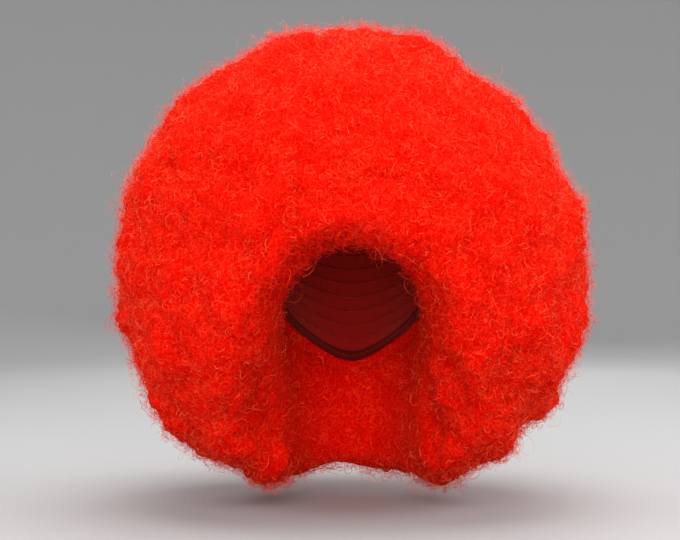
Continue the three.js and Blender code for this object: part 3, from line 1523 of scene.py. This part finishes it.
@dataclass
class SewingTrees:
    """Geometry trees that lay cords and slanted stitches along guide lines."""

    def cord(self) -> bpy.types.NodeTree:
        """Makes the tree that turns guide lines into round cords.

        Returns:
            The tree, with its sizes as named inputs.
        """
        writer = new_geometry_tree("Cord along lines", {"Radius": "Float", "Sides": "Int"})
        given = writer.node("NodeGroupInput").outputs
        lines = writer.node("GeometryNodeMeshToCurve", inputs={"Mesh": given["Geometry"]})
        ring = writer.node(
            "GeometryNodeCurvePrimitiveCircle",
            inputs={"Resolution": given["Sides"], "Radius": given["Radius"]},
        )
        cord = writer.node(
            "GeometryNodeCurveToMesh", inputs={"Curve": lines.outputs[0], "Profile Curve": ring.outputs[0]}
        )
        return writer.finish(cord.outputs[0], given["Material"])

    def stitches(self) -> bpy.types.NodeTree:
        """Makes the tree that sets stitches along guide lines, slanted to one side and the other in turn.

        Returns:
            The tree, with its sizes as named inputs.
        """
        writer = new_geometry_tree(
            "Stitches along lines", {"Stitch": "Object", "Pitch": "Float", "Slant": "Float"}
        )
        given = writer.node("NodeGroupInput").outputs
        lines = writer.node("GeometryNodeMeshToCurve", inputs={"Mesh": given["Geometry"]})
        spaced = writer.node(
            "GeometryNodeResampleCurve",
            {"mode": "LENGTH"},
            {"Curve": lines.outputs[0], "Length": given["Pitch"]},
        )
        along = writer.node("GeometryNodeInputTangent")
        inward = writer.node(
            "GeometryNodeInputNamedAttribute", {"data_type": "FLOAT_VECTOR"}, {"Name": "inward"}
        )
        lain = writer.node(
            "FunctionNodeAlignRotationToVector", {"axis": "Z"}, {"Vector": writer.out(inward, "Attribute")}
        )
        led = writer.node(
            "FunctionNodeAlignRotationToVector",
            {"axis": "X", "pivot_axis": "Z"},
            {"Rotation": lain.outputs[0], "Vector": along.outputs[0]},
        )
        index = writer.node("GeometryNodeInputIndex")
        side = writer.work_out("MODULO", index.outputs[0], 2.0)
        swing = writer.work_out("MULTIPLY_ADD", side, 2.0, -1.0)
        slant = writer.work_out("MULTIPLY", swing, given["Slant"])
        angles = writer.node("ShaderNodeCombineXYZ", inputs={"Z": slant})
        turn = writer.node("FunctionNodeEulerToRotation", inputs={"Euler": angles.outputs[0]})
        facing = writer.node(
            "FunctionNodeRotateRotation",
            {"rotation_space": "LOCAL"},
            {"Rotation": led.outputs[0], "Rotate By": turn.outputs[0]},
        )
        stitch = writer.node("GeometryNodeObjectInfo", inputs={"Object": given["Stitch"]})
        placed = writer.node(
            "GeometryNodeInstanceOnPoints",
            inputs={
                "Points": spaced.outputs[0],
                "Instance": writer.out(stitch, "Geometry"),
                "Rotation": facing.outputs[0],
            },
        )
        real = writer.node("GeometryNodeRealizeInstances", inputs={"Geometry": placed.outputs[0]})
        return writer.finish(real.outputs[0], given["Material"])


@dataclass
class Seam:
    """Rows of sewing round the inside of the cap's form."""

    form: CapForm
    sides: int = 120

    def guide(self, rises: list[np.ndarray], depth: float) -> bpy.types.Object:
        """Makes closed guide lines at given heights above the rim, inside the cap's form by a depth.

        Args:
            rises: For each line its height above the rim at every azimuth.
            depth: How far inside the cap's form the lines run.

        Returns:
            An object of bare lines with the way inwards at each point.
        """
        azimuth = self.azimuths()
        rim = self.form.rim(azimuth)
        points = np.concatenate([self.form.points(azimuth, rim + rise, -depth) for rise in rises])
        deeper = np.concatenate([self.form.points(azimuth, rim + rise, -2.0 * depth) for rise in rises])
        inward = unit(deeper - points)
        column = np.arange(self.sides)
        edges = [
            np.stack([row * self.sides + column, row * self.sides + (column + 1) % self.sides], axis=1)
            for row in range(len(rises))
        ]
        mesh = bpy.data.meshes.new("guide")
        mesh.from_pydata(points.tolist(), np.concatenate(edges).tolist(), [])
        way = mesh.attributes.new("inward", "FLOAT_VECTOR", "POINT")
        way.data.foreach_set("vector", inward.astype(np.float32).ravel())
        return new_object("guide", mesh)

    def azimuths(self) -> np.ndarray:
        """Returns the azimuths of a line's points."""
        return full_turn(self.sides)


def sewn_piece(
    guide: bpy.types.Object, tree: bpy.types.NodeTree, values: dict, name: str
) -> bpy.types.Object:
    """Runs a sewing tree on guide lines and returns the result as a piece.

    Args:
        guide: The guide lines, which are removed.
        tree: The sewing tree.
        values: The tree's inputs by name.
        name: The piece's name.

    Returns:
        The piece.
    """
    mesh = run_geometry_tree(guide, tree, values, name)
    bpy.data.objects.remove(guide)
    if "inward" in mesh.attributes:
        mesh.attributes.remove(mesh.attributes["inward"])
    turn_outwards(mesh, fill_holes=False)
    mesh.shade_smooth()
    made = new_object(name, mesh)
    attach(made, ROOT)
    return made


@dataclass(frozen=True)
class Stitch:
    """One stitch of a row: a short round bar along X with narrow ends, half sunk into what it holds."""

    length: float
    radius: float
    pitch: float
    slant: float
    sides: int = 6
    profile: tuple[tuple[float, float], ...] = ((-1.0, 0.45), (-0.7, 1.0), (0.7, 1.0), (1.0, 0.45))

    def build(self) -> bpy.types.Object:
        """Makes the stitch as an object that isn't in the scene.

        Returns:
            The object.
        """
        azimuth = full_turn(self.sides)
        rings = [
            np.stack(
                [
                    np.full(self.sides, place * self.length / 2.0),
                    share * self.radius * np.cos(azimuth),
                    share * self.radius * np.sin(azimuth),
                ],
                axis=1,
            )
            for place, share in self.profile
        ]
        mesh = mesh_from_arrays("stitch", *ring_wall(rings, looped=False))
        turn_outwards(mesh, fill_holes=True)
        return bpy.data.objects.new("stitch", mesh)

    def sew(
        self, guide: bpy.types.Object, finish: bpy.types.Material, name: str, slot: str
    ) -> bpy.types.Object:
        """Sews rows of the stitch along guide lines.

        Args:
            guide: The guide lines, which are removed.
            finish: The thread's material.
            name: The piece's name.
            slot: Not used.

        Returns:
            The piece.
        """
        stitch = self.build()
        values = {"Stitch": stitch, "Pitch": self.pitch, "Slant": self.slant, "Material": finish}
        sewn = sewn_piece(guide, SewingTrees().stitches(), values, name)
        bpy.data.objects.remove(stitch)
        return sewn


@dataclass
class NetCap:
    """The net cap under the hair with its rows of sewn hair, seen from the front and from below."""

    form: CapForm
    wall: float = 0.0012
    stand_off: float = 0.0002
    sides: int = 96
    rings: int = 26
    last_ring: float = 0.985
    map_drop: float = 0.02
    map_radius: float = 0.1
    weft_climbs: tuple[float, ...] = (0.14, 0.23, 0.32, 0.41, 0.50, 0.59, 0.68, 0.77, 0.86)
    weft_radius: float = 0.0009
    weft_sides: int = 6
    stitch: Stitch = Stitch(length=0.0032, radius=0.00035, pitch=0.0075, slant=math.radians(62.0))

    def build(self) -> list[bpy.types.Object]:
        """Makes the net and the rows of sewing inside it."""
        return [self.net(), *self.wefts()]

    def dome(self, offset: float) -> list[np.ndarray]:
        """Lays rings over the cap's form from the cap's rim to near its crown.

        Args:
            offset: Distance outside the cap's form.

        Returns:
            The rings' points.
        """
        azimuth = full_turn(self.sides)
        rim = self.form.rim(azimuth)
        height = self.form.crown + offset - rim
        climbs = np.sin(np.linspace(0.0, self.last_ring, self.rings) * math.pi / 2.0)
        return [self.form.points(azimuth, rim + height * climb, offset) for climb in climbs]

    def net(self) -> bpy.types.Object:
        """Makes the net as a thin closed wall with a map for its threads.

        Returns:
            The piece.
        """
        inside = self.dome(self.stand_off)[::-1]
        outside = self.dome(self.stand_off + self.wall)
        mesh = mesh_from_arrays("cap_net", *ring_wall([*inside, *outside], looped=False))
        turn_outwards(mesh, fill_holes=True)
        self.map_weave(mesh)
        mesh.materials.append(NetFinish("cap_net_finish", 0.8, 0.2, 0.2, (0.9, 0.3, 0.25, 1.0)).build())
        made = new_object("cap_net", mesh)
        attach(made, ROOT)
        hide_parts("cap")
        return made

    def map_weave(self, mesh: bpy.types.Mesh) -> None:
        """Lays the net's map over the dome from above, in metres, so that its meshes keep their size.

        Args:
            mesh: The net's mesh.
        """
        points = points_of(mesh)
        flat = np.hypot(points[:, 0], points[:, 1])
        slope = np.arctan2(flat, points[:, 2] + self.map_drop)
        spread = slope * self.map_radius / np.maximum(flat, 1e-6)
        store_map(mesh, WEAVE_UV, points[:, :2] * spread[:, None])

    def wefts(self) -> list[bpy.types.Object]:
        """Makes the rows of sewn hair inside the net and the stitches that hold them.

        Returns:
            The pieces.
        """
        finish = ThreadFinish("weft_thread_finish", 0.7, 0.25, 0.15, (0.9, 0.35, 0.28, 1.0)).build()
        seam = Seam(self.form)
        height = self.form.crown - self.form.rim(seam.azimuths())
        rises = [height * climb for climb in self.weft_climbs]
        values = {"Radius": self.weft_radius, "Sides": self.weft_sides, "Material": finish}
        guide = seam.guide(rises, self.weft_radius)
        rows = sewn_piece(guide, SewingTrees().cord(), values, "weft_rows")
        guide = seam.guide(rises, 2.0 * self.weft_radius)
        return [rows, self.stitch.sew(guide, finish, "weft_stitches", "cap_net")]


@dataclass
class EdgeBand:
    """The elastic band sewn inside the cap's rim with a zigzag stitch."""

    form: CapForm
    height: float = 0.010
    thickness: float = 0.0013
    gap: float = 0.0004
    sides: int = 180
    profile: tuple[tuple[float, float], ...] = (
        (0.06, 0.0),
        (0.94, 0.0),
        (1.0, 0.5),
        (0.94, 1.0),
        (0.06, 1.0),
        (0.0, 0.5),
    )
    stitch: Stitch = Stitch(length=0.0046, radius=0.0003, pitch=0.0026, slant=math.radians(48.0))

    def build(self) -> list[bpy.types.Object]:
        """Makes the band and its stitches."""
        return [self.band(), self.zigzag()]

    def band(self) -> bpy.types.Object:
        """Makes the band as a closed ring with rounded edges and a map for its ribs.

        Returns:
            The piece.
        """
        azimuth = full_turn(self.sides)
        rim = self.form.rim(azimuth)
        rings = [
            self.form.points(azimuth, rim + self.height * rise, -self.gap - self.thickness * depth)
            for rise, depth in self.profile
        ]
        mesh = mesh_from_arrays("elastic_band", *ring_wall(rings, looped=True))
        turn_outwards(mesh, fill_holes=False)
        ring, column = np.divmod(np.arange(len(mesh.vertices)), self.sides)
        around = column * (2.0 * math.pi * self.form.half_length / self.sides)
        upwards = np.array([rise for rise, _ in self.profile])[ring] * self.height
        store_map(mesh, WEAVE_UV, np.stack([around, upwards], axis=1))
        finish = RibbedFinish("edge_elastic_finish", 0.7, 0.25, 0.1, (0.8, 0.3, 0.25, 1.0)).build()
        mesh.materials.append(finish)
        made = new_object("elastic_band", mesh)
        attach(made, ROOT)
        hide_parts("edge_band")
        return made

    def zigzag(self) -> bpy.types.Object:
        """Makes the stitches along the middle of the band.

        Returns:
            The piece.
        """
        finish = ThreadFinish("edge_thread_finish", 0.6, 0.3, 0.1, (0.9, 0.35, 0.28, 1.0)).build()
        seam = Seam(self.form)
        middle = np.full(seam.sides, self.height / 2.0)
        guide = seam.guide([middle], self.gap + self.thickness)
        return self.stitch.sew(guide, finish, "band_stitches", "edge_elastic")


# The studio


@dataclass(frozen=True)
class AreaLamp:
    """A soft square lamp."""

    name: str
    place: tuple[float, float, float]
    size: float
    watts: float
    colour: tuple[float, float, float] = (1.0, 1.0, 1.0)

    def build(self, target: Vector) -> bpy.types.Object:
        """Makes the lamp.

        Args:
            target: The place that it is turned to.

        Returns:
            The lamp.
        """
        data = bpy.data.lights.new(self.name, "AREA")
        data.size = self.size
        data.energy = self.watts
        data.color = self.colour
        made = bpy.data.objects.new(self.name, data)
        made.location = self.place
        made.rotation_euler = (target - Vector(self.place)).to_track_quat("-Z", "Y").to_euler()
        bpy.context.scene.collection.objects.link(made)
        return made


@dataclass
class Studio:
    """A plain pale floor that curves up far behind, soft light and a level camera."""

    floor_gap: float = 0.001
    floor_middle: float = 0.01
    floor_radius: float = 2.4
    floor_sides: int = 96
    cove_radius: float = 1.4
    cove_steps: int = 13
    cove_top: float = 2.4
    floor_colour: tuple[float, float, float, float] = (0.40, 0.40, 0.40, 1.0)
    floor_roughness: float = 0.9
    floor_specular: float = 0.1
    sky: tuple[float, float, float, float] = (0.80, 0.80, 0.80, 1.0)
    sky_strength: float = 0.55
    eye: tuple[float, float, float] = (-0.012, -1.57, 0.029)
    lens: float = 83.8
    sensor: float = 36.0
    lit_place: tuple[float, float, float] = (0.0, 0.03, 0.04)
    lamps: tuple[AreaLamp, ...] = (
        AreaLamp("key", (-0.1, -2.2, 1.1), 1.8, 38.0),
        AreaLamp("low", (0.0, -1.9, 0.0), 0.9, 11.0),
        AreaLamp("right", (2.0, -0.2, 0.9), 1.4, 26.0),
        AreaLamp("left", (-2.0, -0.4, 0.8), 1.4, 16.0),
        AreaLamp("top", (0.1, 0.1, 2.2), 1.6, 48.0),
        AreaLamp("back", (0.3, 2.2, 1.0), 1.6, 18.0),
    )

    def build(self) -> None:
        """Makes the floor, the light and the camera."""
        self.floor()
        for lamp in self.lamps:
            lamp.build(Vector(self.lit_place))
        world = bpy.data.worlds.new("studio")
        world.use_nodes = True
        background = world.node_tree.nodes["Background"]
        background.inputs["Color"].default_value = self.sky
        background.inputs["Strength"].default_value = self.sky_strength
        bpy.context.scene.world = world
        bpy.context.scene.view_settings.view_transform = "Standard"
        self.camera()

    def floor(self) -> None:
        """Makes the floor just under the lowest curl, with a rounded cove all round it."""
        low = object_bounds()[0].z - self.floor_gap
        bend = np.linspace(0.0, math.pi / 2.0, self.cove_steps)
        cove = self.floor_radius + self.cove_radius * np.sin(bend)
        reach = [self.floor_middle, *cove, self.floor_radius + self.cove_radius]
        climb = [0.0, *(self.cove_radius * (1.0 - np.cos(bend))), self.cove_top]
        azimuth = full_turn(self.floor_sides)
        rings = [
            np.stack([far * np.cos(azimuth), far * np.sin(azimuth), np.full(len(azimuth), low + up)], axis=1)
            for far, up in zip(reach, climb)
        ]
        mesh = mesh_from_arrays("floor", *ring_wall(rings, looped=False))
        work = bmesh.new()
        work.from_mesh(mesh)
        middle = sorted(work.verts, key=lambda vert: vert.co.xy.length)[: len(azimuth)]
        bmesh.ops.contextual_create(work, geom=middle)
        work.to_mesh(mesh)
        work.free()
        material = bpy.data.materials.new("floor_finish")
        material.use_nodes = True
        shader = material.node_tree.nodes["Principled BSDF"]
        shader.inputs["Base Color"].default_value = self.floor_colour
        shader.inputs["Roughness"].default_value = self.floor_roughness
        shader.inputs["Specular IOR Level"].default_value = self.floor_specular
        mesh.materials.append(material)
        new_object("floor", mesh)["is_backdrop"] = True

    def camera(self) -> None:
        """Makes the camera, which looks level along +Y."""
        data = bpy.data.cameras.new("camera")
        data.lens = self.lens
        data.sensor_width = self.sensor
        made = bpy.data.objects.new("camera", data)
        made.location = self.eye
        made.rotation_euler = (math.radians(90.0), 0.0, 0.0)
        bpy.context.scene.collection.objects.link(made)
        bpy.context.scene.camera = made


def report(piece: bpy.types.Object) -> None:
    """Logs a piece's name and its triangles."""
    triangles = sum(len(face.vertices) - 2 for face in piece.data.polygons)
    LOG.info("%s: %d triangles", piece.name, triangles)


def main() -> None:
    """Builds the wig's pieces in order, then the studio."""
    logging.basicConfig(level=logging.INFO, format="%(name)s %(message)s")
    form = CapForm()
    pieces = Hairdo(form).build()
    pieces += NetCap(form).build()
    pieces += EdgeBand(form).build()
    for piece in pieces:
        report(piece)
    Studio().build()


if __name__ == "__main__":
    main()
